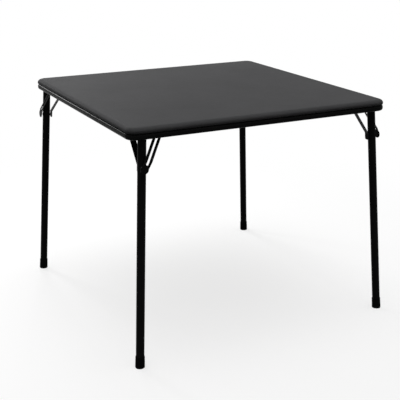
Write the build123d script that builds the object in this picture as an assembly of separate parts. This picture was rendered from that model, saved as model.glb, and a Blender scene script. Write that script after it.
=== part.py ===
from build123d import *
from math import cos, radians, sin
import os

os.makedirs("parts", exist_ok=True)

# A square folding card table with a padded top and four round legs.
# Millimetres, +Z up. The origin lies on the floor under the middle of the top.
# Each leg hangs on a hinge pin inside one corner of the steel rim and folds in beside its
# neighbours like a windmill. Two flat brace arms turn on studs further in, and their lower
# tabs straddle the leg.

# Overall sizes of the table; the side is the board's, and the padding and the rim stand out past it
TOP_SIDE = 853.4
TOP_HEIGHT = 708.66
TOP_THICKNESS = 35.56
EDGE_PADDING = 4.0
CORNER_RADIUS = 32.0
QUARTER_TURN = 90.0
CORNER_NAMES = ["front_left", "front_right", "back_right", "back_left"]

# One overrun for every cut, and the gap left between pieces that move past each other
OVERRUN = 1.0
RUNNING_GAP = 0.3
PIN_FIT = 0.1

# Steel rim, roll-formed from sheet with a well rounded outer face
RIM_SHEET = 1.2
RIM_HEIGHT = 17.8
RIM_ROUND = 7.0
RIM_HEM = 7.6
RIM_LEDGE = 13.4

# Padded top: vinyl over foam over a board with a batten under its edge
VINYL = 0.9
VINYL_RETURN = 13.0
PAD_EDGE_RADIUS = 12.0
PAD_LOWER_RADIUS = 4.5
BATTEN_WIDTH = 12.0
BATTEN_HEIGHT = 4.2
BOARD = 4.0

# Leg tube, with its axis measured in from the rim's two outer faces at the hinge height
LEG_DIAMETER = 25.0
LEG_WALL = 1.2
LEG_IN_ALONG = 48.1
LEG_IN_ACROSS = 24.9
LEG_SPREAD_ALONG = 39.5
LEG_SPREAD_ACROSS = 39.0
HINGE_DROP = 14.9
LEG_ABOVE_HINGE = 5.0
LEG_END_CLEARANCE = 1.0

# Rubber foot, cut flat where it meets the floor
FOOT_DIAMETER = 28.5
FOOT_HEIGHT = 35.0
FOOT_FLOOR = 4.0
FOOT_EDGE_RADIUS = 1.5

# Leg hinge: a pin in two lugs, through a sleeve in the top of the tube
FOLD_SKEW = 28.0
PIN_DIAMETER = 8.0
PIN_HEAD_DIAMETER = 12.0
PIN_HEAD = 2.0
PIN_PEEN_DIAMETER = 10.0
PIN_PEEN = 1.0
SLEEVE_DIAMETER = 12.0
SLEEVE_LENGTH = 25.0

# Pressed corner bracket: a plate under the board with turned-down lugs
BRACKET_SHEET = 2.0
LUG_WIDTH = 12.0
BRACKET_REACH = 132.0
BRACKET_END_WIDTH = 30.0
BRACKET_MIDDLE = 96.0

# Brace arms, both of flat steel strip, each with a short welded eye on its own stud
ARM_SHEET = 2.0
BRACE_AXIS_IN = 41.45
BRACE_AXIS_RISE = 1.0
STUD_DIAMETER = 5.0
STUD_HEAD_DIAMETER = 9.0
STUD_HEAD = 1.4
EYE_DIAMETER = 9.0
EYE_LENGTH = 14.0

# Plain arm on one side of the leg: drops are under the hinge, offsets are from the leg's axis
PLAIN_WIDTH = 18.0
PLAIN_SHIFT = 2.0
PLAIN_OFFSET = 17.0
PLAIN_END_DROP = 101.0
PLAIN_BEND_DROP = 80.0
PLAIN_SIDE_STEP = 2.0
PLAIN_KNEE_STEP = 1.2
PLAIN_EYE_START = 54.3
PLAIN_CORNER_RADIUS = 5.0
PLAIN_GUSSET_LAP = 2.0
PLAIN_GUSSET_SETBACK = 1.0

# Slotted arm on the other side of the leg
SLOTTED_WIDTH = 25.0
SLOT_WIDTH = 7.5
SLOTTED_OFFSET = 20.8
SLOTTED_END_DROP = 86.0
SLOTTED_BEND_DROP = 68.0
SLOTTED_REACH = 46.63
SLOTTED_SIDE_STEP = 0.77
SLOT_TOP_DROP = 8.0
SLOT_END_DROP = 71.0
SLOTTED_EYE_START = -31.7

# Pivot rivet of the brace, through the leg between the two arms
PIVOT_DIAMETER = 6.0
PIVOT_HEAD_DIAMETER = 9.0
PIVOT_HEAD = 0.5
PIVOT_DROP = 90.0

# Fasteners
RIVET_DIAMETER = 4.0
RIVET_HEAD_DIAMETER = 7.5
RIVET_HEAD = 1.5
SCREW_DIAMETER = 3.5
SCREW_HEAD_DIAMETER = 6.0
SCREW_HEAD = 1.6
BOARD_SCREW_BITE = 3.0
RIM_SCREW_BITE = 4.0
RIM_SCREW_SPACING = 180.0
RIM_SCREWS_PER_SIDE = 3
RIVET_SPACING = 44.0
RIVET_FROM_END = 10.0
RIM_SCREW_IN_LEDGE = 3.2
BOARD_SCREW_NEAR = 26.0
BOARD_SCREW_FROM_END = 20.0

# Heights worked out from the sizes above
half_side = TOP_SIDE / 2 + EDGE_PADDING
rim_bottom = TOP_HEIGHT - TOP_THICKNESS
rim_top = rim_bottom + RIM_HEIGHT
shelf_top = rim_top - RIM_SHEET
batten_bottom = rim_top + VINYL
board_bottom = batten_bottom + BATTEN_HEIGHT
board_top = board_bottom + BOARD
foam_top = TOP_HEIGHT - VINYL
hinge_height = rim_top - HINGE_DROP
plate_bottom = board_bottom - BRACKET_SHEET

# The leg's line, from the hinge down to the middle of the foot on the floor
leg_radius = LEG_DIAMETER / 2
hinge = Vector(LEG_IN_ALONG - half_side, LEG_IN_ACROSS - half_side, hinge_height)
foot = Vector(hinge.X - LEG_SPREAD_ALONG, hinge.Y - LEG_SPREAD_ACROSS, 0)
leg_down = (foot - hinge).normalized()
slope_along = LEG_SPREAD_ALONG / hinge_height
slope_across = LEG_SPREAD_ACROSS / hinge_height

# The hinge pin crosses the corner, and fold_way is the way that the foot swings in
pin_way = Vector(-sin(radians(FOLD_SKEW)), cos(radians(FOLD_SKEW)), 0)
fold_way = Vector(cos(radians(FOLD_SKEW)), sin(radians(FOLD_SKEW)), 0)
up = Vector(0, 0, 1)
brace_axis = hinge + fold_way * BRACE_AXIS_IN + up * BRACE_AXIS_RISE
stud_radius = STUD_DIAMETER / 2


def rounded_slab(inset, bottom, top):
    """Rounded square slab, its sides an inset inside the rim's outer face."""
    side = 2 * (half_side - inset)
    return Pos(0, 0, bottom) * extrude(RectangleRounded(side, side, CORNER_RADIUS - inset), top - bottom)


def rod(start, way, length, radius):
    """Round rod from a start point along a direction."""
    return Plane(origin=start, z_dir=way) * extrude(Circle(radius), length)


def beside_leg(along, aside, drop):
    """Point beside the leg's axis, at a drop under the hinge."""
    return hinge + Vector(along - slope_along * drop, aside - slope_across * drop, -drop)


def on_brace_axis(shift):
    """Point on the line of the brace studs."""
    return brace_axis + pin_way * shift


def level_edges(shape, height):
    """Outline edges that lie at one height."""
    return shape.edges().filter_by_position(Axis.Z, height - RUNNING_GAP, height + RUNNING_GAP)


def at_corners(shape):
    """The same shape at all four corners, with the corner names."""
    return [(name, Rot(0, 0, turn * QUARTER_TURN) * shape) for turn, name in enumerate(CORNER_NAMES)]


def rim_screw_spots():
    """Screws up through the rim's ledge into the batten, on the ledge's underside."""
    middle = RIM_LEDGE - RIM_SCREW_IN_LEDGE - half_side
    first = -(RIM_SCREWS_PER_SIDE - 1) / 2
    spots = [Vector((first + i) * RIM_SCREW_SPACING, middle, shelf_top) for i in range(RIM_SCREWS_PER_SIDE)]
    return [s.rotate(Axis.Z, turn * QUARTER_TURN) for s in spots for turn in range(len(CORNER_NAMES))]


def rivet_spots():
    """Rivets that hold one corner bracket to the rim's ledge, on the ledge's top."""
    middle = (RIM_ROUND + RIM_LEDGE) / 2 - half_side
    far = BRACKET_REACH - RIVET_FROM_END - half_side
    stations = [far - RIVET_SPACING, far]
    return [Vector(s, middle, rim_top) for s in stations] + [Vector(middle, s, rim_top) for s in stations]


def board_screw_spots():
    """Screws that hold one corner bracket to the board, on the plate's underside."""
    near = BOARD_SCREW_NEAR - half_side
    far = BRACKET_REACH - BOARD_SCREW_FROM_END - half_side
    return [Vector(far, near, plate_bottom), Vector(near, far, plate_bottom)]


def all_corners_of(spots):
    """Points of one corner repeated at all four corners."""
    return [s.rotate(Axis.Z, turn * QUARTER_TURN) for s in spots for turn in range(len(CORNER_NAMES))]


def make_vinyl_cover():
    """Skin over the top and the sides, turned in under the batten."""
    outside = rounded_slab(0, rim_top, TOP_HEIGHT)
    outside = fillet(level_edges(outside, TOP_HEIGHT), PAD_EDGE_RADIUS)
    outside = fillet(level_edges(outside, rim_top), PAD_LOWER_RADIUS)
    inside = rounded_slab(VINYL, batten_bottom, foam_top)
    inside = fillet(level_edges(inside, foam_top), PAD_EDGE_RADIUS - VINYL)
    inside = fillet(level_edges(inside, batten_bottom), PAD_LOWER_RADIUS - VINYL)
    cover = outside - inside - rounded_slab(VINYL_RETURN, rim_top - OVERRUN, batten_bottom + OVERRUN)
    for spot in rim_screw_spots():
        cover -= rod(spot, up, RIM_SCREW_BITE, SCREW_DIAMETER / 2)
    return cover


def make_foam_pad():
    """Sheet of foam with a soft upper edge, pulled down over the edge of the board."""
    pad = rounded_slab(VINYL, board_bottom, foam_top)
    pad = fillet(level_edges(pad, foam_top), PAD_EDGE_RADIUS - VINYL)
    return pad - rounded_slab(EDGE_PADDING, board_bottom - OVERRUN, board_top)


def make_top_board():
    """Hardboard panel under the foam."""
    board = rounded_slab(EDGE_PADDING, board_bottom, board_top)
    for spot in all_corners_of(board_screw_spots()):
        board -= rod(spot, up, BRACKET_SHEET + BOARD_SCREW_BITE, SCREW_DIAMETER / 2)
    return board


def make_edge_batten():
    """Wooden batten in four mitred strips, glued under the edge of the board."""
    ring = rounded_slab(VINYL, batten_bottom, board_bottom)
    ring = fillet(level_edges(ring, batten_bottom), PAD_LOWER_RADIUS - VINYL)
    ring -= rounded_slab(VINYL + BATTEN_WIDTH, batten_bottom - OVERRUN, board_bottom + OVERRUN)
    for spot in rim_screw_spots():
        ring -= rod(spot, up, RIM_SHEET + VINYL + RIM_SCREW_BITE, SCREW_DIAMETER / 2)
    wedge_face = make_face(Polyline((0, 0), (TOP_SIDE, -TOP_SIDE), (TOP_SIDE, TOP_SIDE), close=True))
    wedge = Pos(0, 0, batten_bottom) * extrude(wedge_face, BATTEN_HEIGHT)
    strips = []
    for turn in range(len(CORNER_NAMES)):
        strips += (ring & (Rot(0, 0, turn * QUARTER_TURN) * wedge)).solids()
    return Compound(strips)


def rim_section():
    """Section of the rim, x outwards from the outer face and y up."""
    low_centre = rim_bottom + RIM_ROUND
    high_centre = rim_top - RIM_ROUND
    low_in = rim_bottom + RIM_SHEET
    inner_round = RIM_ROUND - RIM_SHEET
    skew = cos(radians(QUARTER_TURN) / 2)
    outer_skew = RIM_ROUND * skew
    inner_skew = inner_round * skew
    edges = [
        Line((-RIM_HEM, rim_bottom), (-RIM_ROUND, rim_bottom)),
        ThreePointArc((-RIM_ROUND, rim_bottom), (outer_skew - RIM_ROUND, low_centre - outer_skew),
                      (0, low_centre)),
        Line((0, low_centre), (0, high_centre)),
        ThreePointArc((0, high_centre), (outer_skew - RIM_ROUND, high_centre + outer_skew),
                      (-RIM_ROUND, rim_top)),
        Line((-RIM_ROUND, rim_top), (-RIM_LEDGE, rim_top)),
        Line((-RIM_LEDGE, rim_top), (-RIM_LEDGE, shelf_top)),
        Line((-RIM_LEDGE, shelf_top), (-RIM_ROUND, shelf_top)),
        ThreePointArc((-RIM_ROUND, shelf_top), (inner_skew - RIM_ROUND, high_centre + inner_skew),
                      (-RIM_SHEET, high_centre)),
        Line((-RIM_SHEET, high_centre), (-RIM_SHEET, low_centre)),
        ThreePointArc((-RIM_SHEET, low_centre), (inner_skew - RIM_ROUND, low_centre - inner_skew),
                      (-RIM_ROUND, low_in)),
        Line((-RIM_ROUND, low_in), (-RIM_HEM, low_in)),
        Line((-RIM_HEM, low_in), (-RIM_HEM, rim_bottom)),
    ]
    return make_face(edges)


def make_rim_frame():
    """One hoop of roll-formed rail with four bent corners."""
    centre = half_side - CORNER_RADIUS
    rail_plane = Plane(origin=(half_side, -centre, 0), x_dir=(1, 0, 0), z_dir=(0, -1, 0))
    rail = extrude(rail_plane * rim_section(), -2 * centre)
    bend_plane = Plane(origin=(half_side, centre, 0), x_dir=(1, 0, 0), z_dir=(0, -1, 0))
    bend = revolve(bend_plane * rim_section(), Axis((centre, centre, 0), (0, 0, 1)), QUARTER_TURN)
    hoop = rail + bend
    for turn in range(1, len(CORNER_NAMES)):
        hoop += Rot(0, 0, turn * QUARTER_TURN) * (rail + bend)
    for spot in all_corners_of(rivet_spots()):
        hoop -= rod(spot, -up, RIM_SHEET, RIVET_DIAMETER / 2)
    for spot in rim_screw_spots():
        hoop -= rod(spot, up, RIM_SHEET, SCREW_DIAMETER / 2)
    return hoop


def lug_at(centre, side):
    """Round-ended lug with its near face at a shift along the pin from a centre."""
    plane = Plane(origin=centre + pin_way * side, x_dir=fold_way, z_dir=pin_way)
    height = plate_bottom - centre.Z
    upwards = 1 if plane.y_dir.Z > 0 else -1
    sketch = Circle(LUG_WIDTH / 2) + Pos(0, upwards * height / 2) * Rectangle(LUG_WIDTH, height)
    return extrude(plane * sketch, BRACKET_SHEET)


def make_corner_bracket():
    """Pressed pan under the board with a shelf under the rim's ledge and four lugs."""
    reach = BRACKET_REACH - half_side
    middle = BRACKET_MIDDLE - half_side
    end = BRACKET_END_WIDTH - half_side
    corner = -half_side
    outline = Polyline((corner, corner), (reach, corner), (reach, end), (middle, middle), (end, reach),
                       (corner, reach), close=True)
    region = Pos(0, 0, rim_bottom) * extrude(make_face(outline), board_bottom - rim_bottom)
    wall_out = RIM_LEDGE + RUNNING_GAP
    shelf_out = RIM_ROUND + RUNNING_GAP
    shelf_bottom = shelf_top - BRACKET_SHEET
    pan = rounded_slab(wall_out, plate_bottom, board_bottom)
    wall = rounded_slab(wall_out, shelf_bottom, board_bottom)
    wall -= rounded_slab(wall_out + BRACKET_SHEET, shelf_bottom - OVERRUN, board_bottom + OVERRUN)
    shelf = rounded_slab(shelf_out, shelf_bottom, shelf_top)
    shelf -= rounded_slab(wall_out + BRACKET_SHEET, shelf_bottom - OVERRUN, shelf_top + OVERRUN)
    body = (pan + wall + shelf) & region
    pin_side = SLEEVE_LENGTH / 2 + RUNNING_GAP
    swing = (leg_radius ** 2 + LEG_ABOVE_HINGE ** 2) ** 0.5 + LEG_END_CLEARANCE
    body -= rod(hinge - pin_way * pin_side, pin_way, 2 * pin_side, swing)
    lugs = lug_at(hinge, pin_side) + lug_at(hinge, -pin_side - BRACKET_SHEET)
    lugs += lug_at(brace_axis, SLOTTED_EYE_START - RUNNING_GAP - BRACKET_SHEET)
    lugs += lug_at(brace_axis, PLAIN_EYE_START + EYE_LENGTH + RUNNING_GAP)
    keep_off = rounded_slab(0, shelf_bottom, board_bottom + OVERRUN)
    keep_off -= rounded_slab(wall_out, shelf_bottom - OVERRUN, board_bottom + 2 * OVERRUN)
    body += lugs - keep_off
    body -= rod(hinge - pin_way * LEG_DIAMETER, pin_way, 2 * LEG_DIAMETER, PIN_DIAMETER / 2)
    body -= rod(on_brace_axis(-BRACKET_REACH), pin_way, 2 * BRACKET_REACH, stud_radius)
    for spot in rivet_spots():
        body -= rod(spot, -up, RIM_HEIGHT / 2, RIVET_DIAMETER / 2)
    for spot in board_screw_spots():
        body -= rod(spot, up, BRACKET_SHEET, SCREW_DIAMETER / 2)
    return body


def make_hinge_pin():
    """Headed pin through the bracket's hinge lugs, peened over at the far end."""
    half = SLEEVE_LENGTH / 2 + RUNNING_GAP + BRACKET_SHEET
    pin = rod(hinge - pin_way * half, pin_way, 2 * half, PIN_DIAMETER / 2)
    pin += rod(hinge + pin_way * half, pin_way, PIN_HEAD, PIN_HEAD_DIAMETER / 2)
    pin += rod(hinge - pin_way * half, -pin_way, PIN_PEEN, PIN_PEEN_DIAMETER / 2)
    return pin


def make_stud(eye_start, way):
    """Stud of one eye, riveted in its lug and headed at the free end; way points to the lug."""
    middle = on_brace_axis(eye_start + EYE_LENGTH / 2)
    half = EYE_LENGTH / 2 + RUNNING_GAP
    shank = rod(middle - way * half, way, 2 * half + BRACKET_SHEET, stud_radius)
    return shank + rod(middle - way * half, -way, STUD_HEAD, STUD_HEAD_DIAMETER / 2)


def make_leg_tube():
    """Round tube from inside the foot to just above the hinge."""
    bottom = foot - leg_down * FOOT_FLOOR
    length = (hinge - bottom).length + LEG_ABOVE_HINGE
    tube = rod(bottom, -leg_down, length, leg_radius)
    bore = rod(bottom + leg_down * OVERRUN, -leg_down, length + 2 * OVERRUN, leg_radius - LEG_WALL)
    cross = rod(hinge - pin_way * LEG_DIAMETER, pin_way, 2 * LEG_DIAMETER, SLEEVE_DIAMETER / 2)
    pivot_start, pivot_way = pivot_line()
    pivot = rod(pivot_start - pivot_way * LEG_DIAMETER, pivot_way, 2 * LEG_DIAMETER, PIVOT_DIAMETER / 2)
    return tube - bore - cross - pivot


def pivot_line():
    """Middle and direction of the pivot rivet, square to the leg."""
    return beside_leg(0, 0, PIVOT_DROP), Vector(1, 0, 0).cross(leg_down).normalized()


def make_pivot_rivet():
    """Flat-headed rivet across the leg where the two arms straddle it."""
    middle, way = pivot_line()
    half = leg_radius + PIVOT_HEAD
    rivet = rod(middle - way * half, way, 2 * half, PIVOT_DIAMETER / 2)
    collar = rod(middle - way * half, way, 2 * half, PIVOT_HEAD_DIAMETER / 2)
    return rivet + (collar - rod(middle - leg_down * LEG_DIAMETER, leg_down, 2 * LEG_DIAMETER, leg_radius))


def make_hinge_sleeve():
    """Sleeve welded across the top of the tube, running on the hinge pin."""
    start = hinge - pin_way * SLEEVE_LENGTH / 2
    sleeve = rod(start, pin_way, SLEEVE_LENGTH, SLEEVE_DIAMETER / 2)
    return sleeve - rod(start, pin_way, SLEEVE_LENGTH, PIN_DIAMETER / 2 + PIN_FIT)


def make_leg_foot():
    """Rubber cap pushed over the end of the tube, flat on the floor."""
    cap = rod(foot + leg_down * FOOT_DIAMETER, -leg_down, FOOT_HEIGHT + FOOT_DIAMETER, FOOT_DIAMETER / 2)
    cap = fillet(cap.edges().filter_by(GeomType.CIRCLE).sort_by(Axis.Z)[-1], FOOT_EDGE_RADIUS)
    block = 2 * FOOT_HEIGHT
    below = Box(block, block, block, align=(Align.CENTER, Align.CENTER, Align.MAX))
    socket = rod(foot - leg_down * FOOT_FLOOR, -leg_down, FOOT_HEIGHT, leg_radius)
    return cap - Pos(foot.X, foot.Y, 0) * below - socket


def bent_strip(path, half_width, sheet):
    """Sheet folded along a path of points in one upright plane, wide enough for its outline."""
    flats = []
    for start, end in zip(path, path[1:]):
        run = end - start
        plane = Plane(origin=start, x_dir=Vector(1, 0, 0), z_dir=Vector(1, 0, 0).cross(run).normalized())
        length = run.length if run.dot(plane.y_dir) > 0 else -run.length
        panel = Pos(0, length / 2) * Rectangle(2 * half_width, abs(length))
        flats.append(extrude(plane * panel, sheet / 2, both=True))
    for bend in path[1:-1]:
        flats.append(rod(bend - Vector(half_width, 0, 0), Vector(1, 0, 0), 2 * half_width, sheet / 2))
    strip = flats[0]
    for flat in flats[1:]:
        strip += flat
    return strip


def upright_prism(sketch):
    """Prism across the corner from an outline drawn in X and Z."""
    plane = Plane(origin=(0, 0, 0), x_dir=(1, 0, 0), z_dir=(0, -1, 0))
    return extrude(plane * sketch, TOP_SIDE, both=True)


def make_plain_arm():
    """Solid arm: a tab beside the leg, a leaning web, and a gusset out to its eye."""
    half = PLAIN_WIDTH / 2
    low = beside_leg(PLAIN_SHIFT, PLAIN_OFFSET, PLAIN_END_DROP)
    bend = beside_leg(PLAIN_SHIFT, PLAIN_OFFSET, PLAIN_BEND_DROP)
    gusset_near = on_brace_axis(PLAIN_EYE_START + PLAIN_GUSSET_SETBACK)
    gusset_far = on_brace_axis(PLAIN_EYE_START + EYE_LENGTH - PLAIN_GUSSET_SETBACK)
    knee = Vector(bend.X - PLAIN_SIDE_STEP, gusset_near.Y + PLAIN_KNEE_STEP, hinge.Z)
    strip = bent_strip([low, bend, knee], PLAIN_WIDTH, ARM_SHEET)
    outline = make_face(Polyline((low.X - half, low.Z), (low.X + half, low.Z), (bend.X + half, bend.Z),
                                 (knee.X + half, knee.Z + ARM_SHEET), (knee.X - half, knee.Z + ARM_SHEET),
                                 (bend.X - half, bend.Z), close=True))
    outline = fillet(outline.vertices().sort_by(Axis.Y)[:2], PLAIN_CORNER_RADIUS)
    arm = strip & upright_prism(outline)
    eye_start = on_brace_axis(PLAIN_EYE_START)
    gusset_start = knee.Y - PLAIN_GUSSET_LAP
    gusset_face = make_face(Polyline((knee.X - half, gusset_start), (knee.X + half, gusset_start),
                                     (gusset_near.X, gusset_near.Y), (gusset_far.X, gusset_far.Y),
                                     (knee.X - half, knee.Y), close=True))
    arm += Pos(0, 0, hinge.Z) * extrude(gusset_face, ARM_SHEET / 2, both=True)
    arm += rod(eye_start, pin_way, EYE_LENGTH, EYE_DIAMETER / 2)
    return arm - rod(eye_start, pin_way, EYE_LENGTH, stud_radius + PIN_FIT)


def make_slotted_arm():
    """Slotted arm: a round-ended tab beside the leg and a slotted web up to its eye."""
    half = SLOTTED_WIDTH / 2
    round_end = beside_leg(0, -SLOTTED_OFFSET, SLOTTED_END_DROP)
    bend = beside_leg(0, -SLOTTED_OFFSET, SLOTTED_BEND_DROP)
    top = hinge + Vector(SLOTTED_REACH, -SLOTTED_SIDE_STEP, 0)
    lean = (top.X - round_end.X) / (top.Z - round_end.Z)
    steep = (top.Y - bend.Y) / (top.Z - bend.Z)
    peak = top + Vector(lean, steep, 1) * BRACE_AXIS_RISE
    low = round_end + (round_end - bend)
    strip = bent_strip([low, bend, peak], SLOTTED_REACH + SLOTTED_WIDTH, ARM_SHEET)
    outline = make_face(Polyline((round_end.X - half, round_end.Z), (round_end.X + half, round_end.Z),
                                 (peak.X + half, peak.Z), (peak.X - half, peak.Z), close=True))
    outline += Pos(round_end.X, round_end.Z) * Circle(half)
    arm = strip & upright_prism(outline)
    slot_ends = [(top.X - lean * drop, top.Z - drop) for drop in (SLOT_TOP_DROP, SLOT_END_DROP)]
    slot_half = SLOT_WIDTH / 2
    (high_x, high_z), (low_x, low_z) = slot_ends
    slot = make_face(Polyline((high_x - slot_half, high_z), (high_x + slot_half, high_z),
                              (low_x + slot_half, low_z), (low_x - slot_half, low_z), close=True))
    for x, z in slot_ends:
        slot += Pos(x, z) * Circle(slot_half)
    arm -= upright_prism(slot)
    eye_start = on_brace_axis(SLOTTED_EYE_START)
    arm += rod(eye_start, pin_way, EYE_LENGTH, EYE_DIAMETER / 2)
    return arm - rod(eye_start, pin_way, EYE_LENGTH, stud_radius + PIN_FIT)


def make_rivets():
    """Rivets of the four corner brackets, flush on the ledge and headed under the shelf."""
    grip = RIM_SHEET + BRACKET_SHEET
    spots = all_corners_of(rivet_spots())
    shanks = [rod(s, -up, grip, RIVET_DIAMETER / 2) for s in spots]
    heads = [rod(s - up * grip, -up, RIVET_HEAD, RIVET_HEAD_DIAMETER / 2) for s in spots]
    return Compound([shank + head for shank, head in zip(shanks, heads)])


def make_screws(spots, bite):
    """Pan-headed screws driven upwards from the spots."""
    shanks = [rod(s, up, bite, SCREW_DIAMETER / 2) for s in spots]
    heads = [rod(s, -up, SCREW_HEAD, SCREW_HEAD_DIAMETER / 2) for s in spots]
    return Compound([shank + head for shank, head in zip(shanks, heads)])


def save(shape, name):
    """Write one named piece."""
    solids = shape.solids()
    out = solids[0] if len(solids) == 1 else Compound(solids)
    out.label = name
    export_step(out, "parts/" + name + ".step")


# The padded top and the rim
save(make_vinyl_cover(), "vinyl_cover")
save(make_foam_pad(), "foam_pad")
save(make_top_board(), "top_board")
save(make_edge_batten(), "edge_batten")
save(make_rim_frame(), "rim_frame")
save(make_screws(rim_screw_spots(), RIM_SHEET + VINYL + RIM_SCREW_BITE), "rim_screws")
save(make_screws(all_corners_of(board_screw_spots()), BRACKET_SHEET + BOARD_SCREW_BITE), "bracket_screws")
save(make_rivets(), "bracket_rivets")

# The four corners, each with its leg and its two brace arms
corner_pieces = {
    "corner_bracket": make_corner_bracket(),
    "hinge_pin": make_hinge_pin(),
    "plain_stud": make_stud(PLAIN_EYE_START, pin_way),
    "slotted_stud": make_stud(SLOTTED_EYE_START, -pin_way),
    "leg_tube": make_leg_tube(),
    "hinge_sleeve": make_hinge_sleeve(),
    "pivot_rivet": make_pivot_rivet(),
    "leg_foot": make_leg_foot(),
    "plain_arm": make_plain_arm(),
    "slotted_arm": make_slotted_arm(),
}
for piece, shape in corner_pieces.items():
    for corner_name, turned in at_corners(shape):
        save(turned, piece + "_" + corner_name)
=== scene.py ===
# %% [markdown]
# # A folding card table with a padded top
#
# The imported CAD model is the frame: it already holds the steel rim, the legs, the brace arms and
# the corner brackets in their true places. This lesson dresses that frame. It gives every steel
# piece its powder coat, makes the soft top and the rubber feet as new surfaces, and sets up a
# plain studio.

# %% Load the frame
import math

import bpy
import numpy as np
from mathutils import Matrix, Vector


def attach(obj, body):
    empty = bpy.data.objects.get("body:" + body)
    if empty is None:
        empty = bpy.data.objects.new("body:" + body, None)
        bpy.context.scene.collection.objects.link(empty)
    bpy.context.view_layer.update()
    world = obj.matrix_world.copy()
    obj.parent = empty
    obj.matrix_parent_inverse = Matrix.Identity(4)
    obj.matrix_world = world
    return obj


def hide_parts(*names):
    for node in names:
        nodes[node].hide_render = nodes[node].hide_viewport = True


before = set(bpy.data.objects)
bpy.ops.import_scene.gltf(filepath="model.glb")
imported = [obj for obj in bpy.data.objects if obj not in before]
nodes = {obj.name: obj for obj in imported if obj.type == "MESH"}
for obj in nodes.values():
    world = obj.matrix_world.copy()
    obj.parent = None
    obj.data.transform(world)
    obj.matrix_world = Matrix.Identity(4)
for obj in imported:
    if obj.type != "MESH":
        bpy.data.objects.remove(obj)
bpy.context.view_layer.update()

# %% [markdown]
# ## The camera
#
# A product photograph is taken with a long lens from well back, so that the upright lines stay
# nearly parallel. The camera could be placed by eye, but a small error would show along the legs,
# so its place was solved from the four legs, the four corners and the known sizes of the table. It
# is set first, because everything after it is judged through it.

# %% Set up the camera
CAMERA_AT = Vector((-1.30032, -2.59694, 1.27065))
CAMERA_LOOKS_AT = Vector((0.02143, 0.04856, 0.30269))
CAMERA_ROLL_DEGREES = -0.171
FOCAL_SHARE_OF_WIDTH = 2.2276
SENSOR_MM = 36.0

camera_data = bpy.data.cameras.new("studio_camera")
camera_data.sensor_width = SENSOR_MM
camera_data.lens = FOCAL_SHARE_OF_WIDTH * SENSOR_MM
camera = bpy.data.objects.new("studio_camera", camera_data)
camera.location = CAMERA_AT
look = (CAMERA_LOOKS_AT - CAMERA_AT).to_track_quat("-Z", "Y").to_euler()
look.rotate_axis("Z", math.radians(CAMERA_ROLL_DEGREES))
camera.rotation_euler = look
bpy.context.scene.collection.objects.link(camera)
bpy.context.scene.camera = camera
camera_distance = (CAMERA_AT - CAMERA_LOOKS_AT).length
print("camera is", round(camera_distance, 3), "m away, lens", round(camera_data.lens, 1), "mm")

# %% [markdown]
# ## Colours and nodes
#
# Colours are picked as sRGB hex values, the way a paint chart or a photo editor shows them, and
# Blender's shaders want linear light, so one function turns one into the other. A material could
# be wired by hand in the shader editor. Here a second small function adds a shader node with its
# settings and its links, so that a material reads like a list.

# %% Helpers for materials
MM = 0.001


def linear(hex_colour):
    """sRGB hex to linear RGBA: c/12.92 below 0.04045, otherwise ((c + 0.055)/1.055)^2.4."""
    c = np.array([int(hex_colour[i:i + 2], 16) for i in (1, 3, 5)]) / 255
    return (*np.where(c <= 0.04045, c / 12.92, ((c + 0.055) / 1.055) ** 2.4), 1.0)


def add(tree, kind, inputs=None, colours=(), **settings):
    """Adds one node. An input is a value, or (node, output) for a link, and colours are the hex
    stops of a ramp."""
    node = tree.nodes.new(kind)
    for name, value in settings.items():
        setattr(node, name, value)
    for name, value in (inputs or {}).items():
        if isinstance(value, tuple) and isinstance(value[0], bpy.types.Node):
            tree.links.new(value[0].outputs[value[1]], node.inputs[name])
        else:
            node.inputs[name].default_value = value
    for stop, colour in enumerate(colours):
        node.color_ramp.elements[stop].color = linear(colour)
    return node


def new_material(name):
    """An empty node material, with its tree and its Object coordinates."""
    material = bpy.data.materials.new(name)
    material.use_nodes = True
    tree = material.node_tree
    tree.nodes.clear()
    return material, tree, (add(tree, "ShaderNodeTexCoord"), "Object")


def per_metre(size_mm):
    """Texture scale for a pattern whose cell is size_mm wide: cells per metre."""
    return 1.0 / (size_mm * MM)


print("the hex grey #808080 is", round(float(linear("#808080")[0]), 3), "in linear light")

# %% [markdown]
# ## PVC leatherette
#
# The top is covered with calendered PVC on a cloth backing. A hot steel roll presses a leather
# grain into it: small rounded pebbles with creases between them. Black PVC is really a very dark
# grey, and its soft gloss spreads any light into a wide pale patch. An image of leather could be
# laid on, but it would repeat over so wide a top. Here a Voronoi pattern gives the pebbles, and two
# sizes of noise break up the tone, as a slightly uneven coating does. The creases between the
# pebbles are also coloured a little darker: that is painted shade. The specular level is far below
# the usual 0.5 on this and the other black finishes. With 0.5 the white surroundings would turn
# the legs dark grey and the top mid-grey.

# %% Make the leatherette
GRAIN_MM = 2.4        # the real pebble is about 1 mm: drawn coarser, so that it shows at this size
MOTTLE_MM = 14.0
CLOUD_MM = 160.0

leatherette, tree, place = new_material("pvc_leatherette")
pebbles = add(tree, "ShaderNodeTexVoronoi", {
    "Vector": place, "Scale": per_metre(GRAIN_MM), "Randomness": 0.9}, feature="SMOOTH_F1")
mottle = add(tree, "ShaderNodeTexNoise", {
    "Vector": place, "Scale": per_metre(MOTTLE_MM), "Detail": 5.0})
cloud = add(tree, "ShaderNodeTexNoise", {
    "Vector": place, "Scale": per_metre(CLOUD_MM), "Detail": 2.0})
tone = add(tree, "ShaderNodeMath", {0: (mottle, "Fac"), 1: (cloud, "Fac")}, operation="ADD")
tone_half = add(tree, "ShaderNodeMath", {0: (tone, "Value"), 1: 0.5}, operation="MULTIPLY")
# The random tone of the two noises, made darker away from each pebble's middle: painted shade in
# the creases.
tone_and_crease_shade = add(tree, "ShaderNodeMath", {
    0: (pebbles, "Distance"), 1: -0.25, 2: (tone_half, "Value")}, operation="MULTIPLY_ADD")
shade = add(tree, "ShaderNodeValToRGB", {"Fac": (tone_and_crease_shade, "Value")}, ("#444445", "#545455"))
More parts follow.
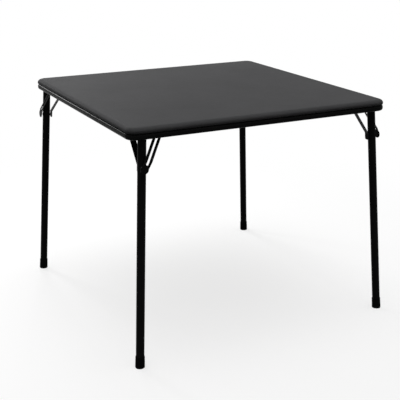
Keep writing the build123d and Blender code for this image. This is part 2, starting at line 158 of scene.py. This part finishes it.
gloss = add(tree, "ShaderNodeMapRange", {
    "Value": (mottle, "Fac"), "To Min": 0.50, "To Max": 0.60})
emboss = add(tree, "ShaderNodeBump", {
    "Height": (pebbles, "Distance"), "Strength": 0.35, "Distance": 0.0006}, invert=True)
vinyl = add(tree, "ShaderNodeBsdfPrincipled", {
    "Base Color": (shade, "Color"), "Roughness": (gloss, "Result"), "IOR": 1.53,
    "Normal": (emboss, "Normal"), "Specular IOR Level": 0.006})
add(tree, "ShaderNodeOutputMaterial", {"Surface": (vinyl, "BSDF")})
print("leatherette pebbles are", GRAIN_MM, "mm across")

# %% [markdown]
# ## Powder-coated steel
#
# The rim, the legs, the brackets and the brace arms are mild steel with a black powder coat. The
# powder is baked until it flows into a smooth film with a very slight orange-peel. It looks darker
# than the leatherette, because a smooth film scatters less light back, and it keeps one narrow
# highlight along each rounded edge. A metallic shader would be wrong, because the film hides the
# steel. A fine noise gives the orange-peel, and a wide one varies the colour and the gloss.

# %% Make the powder coat
ORANGE_PEEL_MM = 3.0
FILM_MM = 40.0

powder_coat, tree, place = new_material("powder_coated_steel")
peel = add(tree, "ShaderNodeTexNoise", {
    "Vector": place, "Scale": per_metre(ORANGE_PEEL_MM), "Detail": 2.0})
film = add(tree, "ShaderNodeTexNoise", {
    "Vector": place, "Scale": per_metre(FILM_MM), "Detail": 4.0})
coat_colour = add(tree, "ShaderNodeValToRGB", {"Fac": (film, "Fac")}, ("#171717", "#202020"))
coat_gloss = add(tree, "ShaderNodeMapRange", {
    "Value": (film, "Fac"), "To Min": 0.22, "To Max": 0.28})
peel_bump = add(tree, "ShaderNodeBump", {
    "Height": (peel, "Fac"), "Strength": 0.08, "Distance": 0.0004})
coat = add(tree, "ShaderNodeBsdfPrincipled", {
    "Base Color": (coat_colour, "Color"), "Roughness": (coat_gloss, "Result"), "IOR": 1.5,
    "Specular IOR Level": 0.013, "Normal": (peel_bump, "Normal")})
add(tree, "ShaderNodeOutputMaterial", {"Surface": (coat, "BSDF")})
print("the orange-peel is", ORANGE_PEEL_MM, "mm wide")

# %% [markdown]
# ## Zinc-plated fasteners
#
# The screws, the hinge pins, the studs and the brackets' rivets are steel with a thin zinc coat,
# which shows fine mottled crystals and a faint blue tint. One even grey would have no crystals, so
# a Voronoi pattern mixes two pale greys.

# %% Make the zinc plate
CRYSTAL_MM = 1.5

zinc_plate, tree, place = new_material("zinc_plated_steel")
crystals = add(tree, "ShaderNodeTexVoronoi", {"Vector": place, "Scale": per_metre(CRYSTAL_MM)})
zinc_colour = add(tree, "ShaderNodeValToRGB", {
    "Fac": (crystals, "Distance")}, ("#9a9fa3", "#c3c6c8"))
zinc = add(tree, "ShaderNodeBsdfPrincipled", {
    "Base Color": (zinc_colour, "Color"), "Metallic": 1.0, "Roughness": 0.38})
add(tree, "ShaderNodeOutputMaterial", {"Surface": (zinc, "BSDF")})
print("zinc crystals are", CRYSTAL_MM, "mm across")

# %% [markdown]
# ## Hardboard
#
# Under the foam lies a sheet of hardboard, wood fibre pressed with heat. Its face is smooth and
# brown, with flecks of darker fibre. A wood grain would be wrong here, because the fibres lie in
# all directions, so two sizes of noise are added up: the flecks and the unevenness of the press.

# %% Make the hardboard
FLECK_MM = 3.0
PRESS_MM = 90.0

hardboard, tree, place = new_material("pressed_hardboard")
flecks = add(tree, "ShaderNodeTexNoise", {
    "Vector": place, "Scale": per_metre(FLECK_MM), "Detail": 8.0, "Roughness": 0.7})
press = add(tree, "ShaderNodeTexNoise", {
    "Vector": place, "Scale": per_metre(PRESS_MM), "Detail": 3.0})
fibre = add(tree, "ShaderNodeMath", {
    0: (flecks, "Fac"), 1: 0.6, 2: (press, "Fac")}, operation="MULTIPLY_ADD")
fibre_tone = add(tree, "ShaderNodeMapRange", {
    "Value": (fibre, "Value"), "From Min": 0.5, "From Max": 1.1})
board_colour = add(tree, "ShaderNodeValToRGB", {
    "Fac": (fibre_tone, "Result")}, ("#3b2a1e", "#6b4d36"))
board_bump = add(tree, "ShaderNodeBump", {
    "Height": (flecks, "Fac"), "Strength": 0.2, "Distance": 0.0003})
board = add(tree, "ShaderNodeBsdfPrincipled", {
    "Base Color": (board_colour, "Color"), "Roughness": 0.62, "Normal": (board_bump, "Normal")})
add(tree, "ShaderNodeOutputMaterial", {"Surface": (board, "BSDF")})
print("hardboard flecks are", FLECK_MM, "mm across")

# %% [markdown]
# ## Softwood
#
# The battens under the board's edge are planed pine, with growth rings that run along the strip.
# Each strip could have a pattern of its own. They all lie level, so one wave pattern, stacked in
# height, serves all four, and its distortion keeps the lines from looking ruled.

# %% Make the softwood
RING_MM = 4.0
WAVES_PER_CELL = 3        # Blender's wave pattern draws about three bands in one cell

softwood, tree, place = new_material("planed_pine")
growth_rings = add(tree, "ShaderNodeTexWave", {
    "Vector": place, "Scale": per_metre(RING_MM) / WAVES_PER_CELL, "Distortion": 3.0},
    bands_direction="Z")
pine_colour = add(tree, "ShaderNodeValToRGB", {
    "Fac": (growth_rings, "Fac")}, ("#a98455", "#cfae7c"))
pine = add(tree, "ShaderNodeBsdfPrincipled", {
    "Base Color": (pine_colour, "Color"), "Roughness": 0.6})
add(tree, "ShaderNodeOutputMaterial", {"Surface": (pine, "BSDF")})
print("pine rings are", RING_MM, "mm apart")

# %% [markdown]
# ## Moulded rubber
#
# The feet are moulded black rubber. Rubber scatters light more than the powder coat, so it looks a
# shade flatter, and the mould leaves a fine stipple. The stipple could be modelled, but it is too
# fine to change the outline, so it is a bump.

# %% Make the rubber
STIPPLE_MM = 1.6

rubber, tree, place = new_material("moulded_rubber")
stipple = add(tree, "ShaderNodeTexNoise", {
    "Vector": place, "Scale": per_metre(STIPPLE_MM), "Detail": 3.0})
rubber_colour = add(tree, "ShaderNodeValToRGB", {
    "Fac": (stipple, "Fac")}, ("#101010", "#181818"))
rubber_bump = add(tree, "ShaderNodeBump", {
    "Height": (stipple, "Fac"), "Strength": 0.25, "Distance": 0.0004})
rubber_shader = add(tree, "ShaderNodeBsdfPrincipled", {
    "Base Color": (rubber_colour, "Color"), "Roughness": 0.68, "IOR": 1.52,
    "Specular IOR Level": 0.01, "Normal": (rubber_bump, "Normal")})
add(tree, "ShaderNodeOutputMaterial", {"Surface": (rubber_shader, "BSDF")})
print("rubber stipple is", STIPPLE_MM, "mm across")

# %% [markdown]
# ## Dress the frame
#
# The rigid nodes could be modelled again, but they already have the right shape, so they keep
# their meshes and only get a better finish in their material slots. The start of a node's name
# says which piece it is, and that picks the finish.

# %% Give each CAD node its finish
FINISHES = {
    "rim_frame": powder_coat, "corner_bracket": powder_coat, "leg_tube": powder_coat,
    "hinge_sleeve": powder_coat, "pivot_rivet": powder_coat, "plain_arm": powder_coat,
    "slotted_arm": powder_coat, "hinge_pin": zinc_plate, "plain_stud": zinc_plate,
    "slotted_stud": zinc_plate, "rim_screws": zinc_plate, "bracket_screws": zinc_plate,
    "bracket_rivets": zinc_plate, "top_board": hardboard, "edge_batten": softwood,
}
for name, node in nodes.items():
    for start, finish in FINISHES.items():
        if name.startswith(start):
            for slot in node.material_slots:
                slot.material = finish
print("finished", len(nodes), "CAD nodes")

# %% [markdown]
# ## A grid of points becomes a mesh
#
# Every new piece here is a surface of two parameters, worked out as whole numpy arrays: rows along
# a profile and columns round it. Ready-made cubes and cylinders could be bevelled instead, but on
# a grid every row gets its true size. The columns wrap round. The first and the last row are
# small, and each is closed with a fan of triangles, so that no pole is left open.

# %% Helper that builds a closed surface
def closed_surface(name, rings, material):
    """rings is (rows, columns, 3) in metres. Row i joins row i + 1, columns wrap round,
    and the first and last rows are closed with a fan to their mean point."""
    rows, columns, _ = rings.shape
    first = np.arange(columns)
    second = (first + 1) % columns
    row = np.arange(rows - 1)[:, None] * columns
    quads = np.stack([row + first, row + second, row + columns + second, row + columns + first], -1)
    start_pole, end_pole = rows * columns, rows * columns + 1
    last_row = (rows - 1) * columns
    start_fan = np.stack([np.full(columns, start_pole), second, first], -1)
    end_fan = np.stack([np.full(columns, end_pole), last_row + first, last_row + second], -1)
    points = np.vstack([rings.reshape(-1, 3), rings[0].mean(0), rings[-1].mean(0)])
    faces = quads.reshape(-1, 4).tolist() + start_fan.tolist() + end_fan.tolist()
    mesh = bpy.data.meshes.new(name)
    mesh.from_pydata(points.tolist(), [], faces)
    mesh.validate()
    mesh.polygons.foreach_set("use_smooth", [True] * len(mesh.polygons))
    mesh.materials.append(material)
    piece = bpy.data.objects.new(name, mesh)
    bpy.context.scene.collection.objects.link(piece)
    print(name, "has", len(mesh.polygons), "faces")
    return piece


# %% [markdown]
# ## The padded top
#
# A thin sheet of foam lies on the board and comes down over its edge. The vinyl is pulled over it,
# round the batten and in under the edge. Pulling it tight rounds the top edge and leaves the
# middle a little fuller than the sides. A box with bevelled edges would look like a tray, and a
# cloth simulation suits a loose cushion better than a tight, flat one. So the pad is a profile
# carried round a rounded square, which is worked out first.

# %% Outline of the pad
PAD_SIDE_MM = 861.4
PAD_CORNER_MM = 32.0
ARC_STEPS = 24
SIDE_STEPS = 72


def rounded_square(inset):
    """Points round a square with rounded corners, an inset in mm inside the pad's side.
    Each side is a straight run of SIDE_STEPS points, and each corner an arc of ARC_STEPS points
    about a fixed centre, so that the same index is the same place on every inset."""
    half = PAD_SIDE_MM / 2
    centre = half - PAD_CORNER_MM
    run = np.linspace(-centre, centre, SIDE_STEPS, endpoint=False)
    angle = np.linspace(0, np.pi / 2, ARC_STEPS, endpoint=False)
    radius = PAD_CORNER_MM - inset
    side = np.stack([np.full_like(run, half - inset), run], -1)
    arc = np.stack([centre + radius * np.cos(angle), centre + radius * np.sin(angle)], -1)
    quarter = np.vstack([side, arc])
    turns = np.arange(4) * np.pi / 2
    spin = np.stack([np.stack([np.cos(turns), -np.sin(turns)], -1),
                     np.stack([np.sin(turns), np.cos(turns)], -1)], -2)
    return np.einsum("kij,nj->kni", spin, quarter).reshape(-1, 2)


print("the pad's outline has", len(rounded_square(0.0)), "points")

# %% [markdown]
# ## The pad's edge in section
#
# A cut through the edge shows a soft shoulder, an upright side and a tucked lower edge, after
# which the vinyl turns in under the batten. A single round would look inflated, so each stretch
# has its own curve. The heights of the rim, the batten, the board and the top are the CAD model's,
# so that the pad meets each piece where it is.

# %% Profile of the pad
TOP_MM = 708.66
RIM_TOP_MM = 690.9
BATTEN_TOP_MM = 696.0
BOARD_TOP_MM = 700.0
CROWN_MM = 0.8             # how much higher the middle is than the edge
SHOULDER_MM = 11.6
SHOULDER_SPREAD = 1.35     # the shoulder's width over its height
TUCK_MM = 4.5
HEM_MM = 13.0
VINYL_MM = 0.9
PADDING_MM = 4.0           # how far the cover stands out from the board's edge
UNDERLAP_MM = 20.0         # how far in the foam's underside is drawn before it closes
EDGE_STEPS = 18
SIDE_STEPS_DOWN = 5


def pad_profile():
    """(inset, height) pairs in mm from the shoulder down to the hem and in under the foam: a
    quarter ellipse for the shoulder, a straight side, a quarter circle for the tucked lower
    edge, and straight runs for the hem, the batten and the board."""
    t = np.linspace(0, np.pi / 2, EDGE_STEPS)
    edge_top = TOP_MM - CROWN_MM
    shoulder = np.stack([SHOULDER_MM * SHOULDER_SPREAD * (1 - np.sin(t)),
                         edge_top - SHOULDER_MM * (1 - np.cos(t))], -1)
    down = np.linspace(0, 1, SIDE_STEPS_DOWN)[1:-1]
    side_height = edge_top - SHOULDER_MM - RIM_TOP_MM - TUCK_MM
    side = np.stack([0 * down, edge_top - SHOULDER_MM - side_height * down], -1)
    tuck = np.stack([TUCK_MM * (1 - np.cos(t)), RIM_TOP_MM + TUCK_MM * (1 - np.sin(t))], -1)
    hem = np.array([
        (HEM_MM, RIM_TOP_MM), (HEM_MM, RIM_TOP_MM + VINYL_MM), (TUCK_MM, RIM_TOP_MM + VINYL_MM),
        (VINYL_MM, RIM_TOP_MM + TUCK_MM), (VINYL_MM, BATTEN_TOP_MM), (PADDING_MM, BATTEN_TOP_MM),
        (PADDING_MM, BOARD_TOP_MM), (UNDERLAP_MM, BOARD_TOP_MM)])
    return np.vstack([shoulder, side, tuck, hem])


profile = pad_profile()
print("the pad's edge has", len(profile), "rows")

# %% [markdown]
# ## The pad's surface
#
# The tight cover stands a little higher in the middle than at its edge. The middle could be one
# flat face, but then the crown would have nothing to bend. Smaller and smaller copies of the
# first ring carry it, and copies of the last ring close the pad under the foam.

# %% Build the pad
CROWN_ROWS = 46
UNDER_ROWS = 12
MIDDLE_SHARE = 0.02        # size of the smallest ring, as a share of the whole one
CROWN_POWER = 5            # a high power keeps the middle flat and lets the edge fall away


def ring_at(inset, height):
    """One ring of the pad in metres: the rounded square at that inset, at one height."""
    flat = rounded_square(inset)
    return np.column_stack([flat, np.full(len(flat), height)]) * MM


def shrunk(ring, shares, heights_mm):
    """Copies of a ring, each scaled about the middle by its share and put at its height."""
    rings = ring[None] * np.array([1, 1, 0]) * shares[:, None, None]
    rings[..., 2] = heights_mm[:, None] * MM
    return rings


edge_rings = np.stack([ring_at(inset, height) for inset, height in profile])
top_shares = np.linspace(MIDDLE_SHARE, 1.0, CROWN_ROWS)[:-1]
top_rings = shrunk(edge_rings[0], top_shares, TOP_MM - CROWN_MM * top_shares ** CROWN_POWER)
under_shares = np.linspace(1.0, MIDDLE_SHARE, UNDER_ROWS)[1:]
under_rings = shrunk(edge_rings[-1], under_shares, np.full(len(under_shares), BOARD_TOP_MM))
pad_rings = np.concatenate([top_rings, edge_rings, under_rings])
pad = closed_surface("padded_top", pad_rings[:, ::-1], leatherette)
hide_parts("vinyl_cover", "foam_pad")
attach(pad, "top")

# %% [markdown]
# ## The rubber feet
#
# Each leg ends in a cap pushed over the tube. The mould gives it a slight taper, a rounded lip and
# two shallow grooves for grip, and its sole is cut so that it stands flat, although the leg leans.
# A cylinder would have none of these, so the cap is a profile turned round the leg's own line.

# %% Profile of a foot
TUBE_RADIUS_MM = 12.5
TUBE_SLACK_MM = 0.02
FOOT_RADIUS_MM = 14.25
FOOT_HEIGHT_MM = 35.0
FOOT_FLOOR_MM = 4.0
TAPER_MM = 0.4
ROUNDING_MM = 1.2
WALL_FROM_MM = 2.0
WALL_ROWS = 40
GROOVE_FROM_MM = 24.0
GROOVE_WIDTH_MM = 4.0      # of each groove, and of the gap between them
GROOVE_DEPTH_MM = 0.35
POLE_MM = 0.5              # radius of the small ring that the fan closes
# Points of the heel and the lip: how far each lies inside the foot's radius, and its height above
# the middle of the sole or above the top. The heel starts below the floor, which cuts it flat.
HEEL_MM = np.array([(ROUNDING_MM, -6.0), (0.3, 0.6)])
LIP_MM = np.array([(0.8, -0.4), (ROUNDING_MM, 0.0)])


def foot_profile():
    """(radius, height along the leg) in mm: sole, rounded heel, tapered wall with two shallow
    grooves given by a squared sine, the upper of which runs into the rounded lip, and the socket
    down to its floor."""
    socket_radius = TUBE_RADIUS_MM + TUBE_SLACK_MM
    wall = np.linspace(WALL_FROM_MM, FOOT_HEIGHT_MM - ROUNDING_MM, WALL_ROWS)
    wave = np.clip(np.sin((wall - GROOVE_FROM_MM) * np.pi / GROOVE_WIDTH_MM), 0, 1)
    groove = GROOVE_DEPTH_MM * wave ** 2 * (wall > GROOVE_FROM_MM)
    outside = np.stack([FOOT_RADIUS_MM - TAPER_MM * wall / FOOT_HEIGHT_MM - groove, wall], -1)
    sole = np.array([(POLE_MM, HEEL_MM[0, 1])])
    heel = np.stack([FOOT_RADIUS_MM - HEEL_MM[:, 0], HEEL_MM[:, 1]], -1)
    lip = np.stack([FOOT_RADIUS_MM - LIP_MM[:, 0], FOOT_HEIGHT_MM + LIP_MM[:, 1]], -1)
    socket = np.array([(socket_radius, lip[0, 1]), (socket_radius, FOOT_FLOOR_MM),
                       (POLE_MM, FOOT_FLOOR_MM)])
    return np.vstack([sole, heel, outside, lip, socket])


print("a foot's profile has", len(foot_profile()), "points")

# %% [markdown]
# ## Four feet
#
# The legs lean outwards in two directions at once. A cap could be turned by two angles, but the
# line from the foot to the hinge already holds both. Quarter turns about the table's middle give
# the other three caps, and what would lie below the floor is brought up to it.

# %% Build the feet
CORNERS = ("front_left", "front_right", "back_right", "back_left")
LEG_INSET_MM = (48.1, 24.9)        # from the pad's sides in to the leg's hinge
LEG_SPREAD_MM = (39.5, 39.0)       # from the hinge out to the foot
HINGE_HEIGHT_MM = 676.0
ROUND_STEPS = 64

half_side = PAD_SIDE_MM / 2
hinge = np.array([LEG_INSET_MM[0] - half_side, LEG_INSET_MM[1] - half_side, HINGE_HEIGHT_MM])
foot = hinge - np.array([*LEG_SPREAD_MM, HINGE_HEIGHT_MM])
turns = np.linspace(0, 2 * np.pi, ROUND_STEPS, endpoint=False)
shape = foot_profile()

for quarter_turns, corner in enumerate(CORNERS):
    angle = quarter_turns * np.pi / 2
    spin = np.array([[np.cos(angle), -np.sin(angle), 0], [np.sin(angle), np.cos(angle), 0],
                     [0, 0, 1]])
    up_leg = spin @ (hinge - foot)
    up_leg /= np.linalg.norm(up_leg)
    side = np.cross(up_leg, [0, 1, 0])
    side /= np.linalg.norm(side)
    other = np.cross(up_leg, side)
    circle = np.cos(turns)[:, None] * side + np.sin(turns)[:, None] * other
    rings = spin @ foot + shape[:, 0, None, None] * circle[None] + shape[:, 1, None, None] * up_leg
    rings[..., 2] = np.maximum(rings[..., 2], 0.0)
    cap = closed_surface("rubber_foot_" + corner, rings * MM, rubber)
    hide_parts("leg_foot_" + corner)
    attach(cap, "leg_" + corner)

# %% [markdown]
# ## The studio floor
#
# A catalogue picture has nothing but white behind and below. White paint alone comes out grey in
# this light, and greyest in the table's shadow. So the paint is mixed with plain white: mostly
# white at the table, where a light shadow stays, and wholly white further out. It sends only a
# little light back up, so that the sides of the table stay dark. Seen from below it is clear, so
# that the underside of the table can be looked at.

# %% Floor
FLOOR_METRES = 40.0
CLEAR_FROM = 0.9      # metres from the table's middle at which the floor starts to fade to white
CLEAR_BY = 1.9
CLEAR_NEAR = 0.7      # share of plain white at the table itself, which keeps the shadow light


def seen_directly(tree):
    """The light path's node, and a value that is 1 for what the camera, a reflection or a clear
    surface sees and 0 for light that lands diffusely: the largest of the three rays' values."""
    ray = add(tree, "ShaderNodeLightPath")
    seen = add(tree, "ShaderNodeMath", {
        0: (ray, "Is Camera Ray"), 1: (ray, "Is Glossy Ray")}, operation="MAXIMUM")
    seen_all = add(tree, "ShaderNodeMath", {
        0: (seen, "Value"), 1: (ray, "Is Transmission Ray")}, operation="MAXIMUM")
    return ray, (seen_all, "Value")


floor_paint, tree, place = new_material("studio_floor")
ray, directly = seen_directly(tree)
reach = add(tree, "ShaderNodeVectorMath", {0: place}, operation="LENGTH")
beyond = add(tree, "ShaderNodeMapRange", {
    "Value": (reach, "Value"), "From Min": CLEAR_FROM, "From Max": CLEAR_BY,
    "To Min": CLEAR_NEAR}, interpolation_type="SMOOTHSTEP")
clear = add(tree, "ShaderNodeMath", {0: (beyond, "Result"), 1: directly}, operation="MULTIPLY")
bounce = add(tree, "ShaderNodeValToRGB", {"Fac": (ray, "Is Diffuse Ray")}, ("#ffffff", "#6e6e6e"))
paint = add(tree, "ShaderNodeBsdfDiffuse", {"Color": (bounce, "Color")})
white = add(tree, "ShaderNodeEmission", {"Color": linear("#ffffff"), "Strength": 1.0})
both = add(tree, "ShaderNodeMixShader", {
    0: (clear, "Value"), 1: (paint, "BSDF"), 2: (white, "Emission")})
face = add(tree, "ShaderNodeNewGeometry")
nothing = add(tree, "ShaderNodeBsdfTransparent")
one_way = add(tree, "ShaderNodeMixShader", {
    0: (face, "Backfacing"), 1: (both, "Shader"), 2: (nothing, "BSDF")})
add(tree, "ShaderNodeOutputMaterial", {"Surface": (one_way, "Shader")})
bpy.ops.mesh.primitive_plane_add(size=FLOOR_METRES, location=(0, 0, 0))
floor = bpy.context.object
floor.name = "studio_floor"
floor.data.materials.append(floor_paint)
print("the floor is", FLOOR_METRES, "m wide")

# %% [markdown]
# ## The light overhead
#
# The main light is soft and comes from overhead, which is why the top of a black table reads as
# dark grey, while its sides and legs go almost black. A large lamp could hang there. Instead the
# world itself is brightest at the zenith and falls off quickly towards the horizon, which has no
# lamp's edge to show. To the camera and to reflections it is plain white.

# %% World
HORIZON = 0.03
ZENITH = 4.2
OVERHEAD_POWER = 10.0      # how fast the light gathers towards the zenith

world = bpy.data.worlds.new("studio")
bpy.context.scene.world = world
world.use_nodes = True
tree = world.node_tree
tree.nodes.clear()
direction = add(tree, "ShaderNodeTexCoord")
way = add(tree, "ShaderNodeSeparateXYZ", {"Vector": (direction, "Generated")})
height = add(tree, "ShaderNodeMath", {
    0: (way, "Z"), 1: OVERHEAD_POWER}, operation="POWER", use_clamp=True)
light = add(tree, "ShaderNodeMapRange", {
    "Value": (height, "Value"), "To Min": HORIZON, "To Max": ZENITH})
ray, directly = seen_directly(tree)
strength = add(tree, "ShaderNodeMapRange", {
    "Value": directly, "To Min": (light, "Result"), "To Max": 1.0})
sky = add(tree, "ShaderNodeBackground", {
    "Color": linear("#ffffff"), "Strength": (strength, "Result")})
add(tree, "ShaderNodeOutputWorld", {"Surface": (sky, "Background")})
print("the world's strength runs from", HORIZON, "to", ZENITH)

# %% [markdown]
# ## Two softboxes
#
# The world alone leaves the rim without a line of light, and the top almost even from left to
# right. One high lamp would mend only the top, because it draws no line on the rim. So there are
# two behind the table: a small low one draws the highlight along the rim, and a higher one
# lightens the top, most at its left corner and least towards the right.

# %% Lamps
def softbox(name, at, looks_at, size, watts):
    """A square area lamp at a place, turned to look at a point."""
    lamp = bpy.data.lights.new(name, "AREA")
    lamp.shape = "SQUARE"
    lamp.size = size
    lamp.energy = watts
    holder = bpy.data.objects.new(name, lamp)
    holder.location = at
    holder.rotation_euler = (Vector(looks_at) - Vector(at)).to_track_quat("-Z", "Y").to_euler()
    bpy.context.scene.collection.objects.link(holder)
    print(name, "gives", watts, "W")


softbox("rim_light", at=(-0.83, 1.86, 1.26), looks_at=(-0.4, 0.0, 0.69), size=0.4, watts=10.5)
softbox("back", at=(0.05, 2.0, 1.85), looks_at=(-0.2, 0.2, 0.7), size=0.6, watts=17)

# %% [markdown]
# ## How the picture is shown
#
# A filmic view softens bright areas and would turn the white surroundings grey. The Standard view
# shows each colour as it was picked.

# %% View
bpy.context.scene.view_settings.view_transform = "Standard"
print("the view is", bpy.context.scene.view_settings.view_transform)
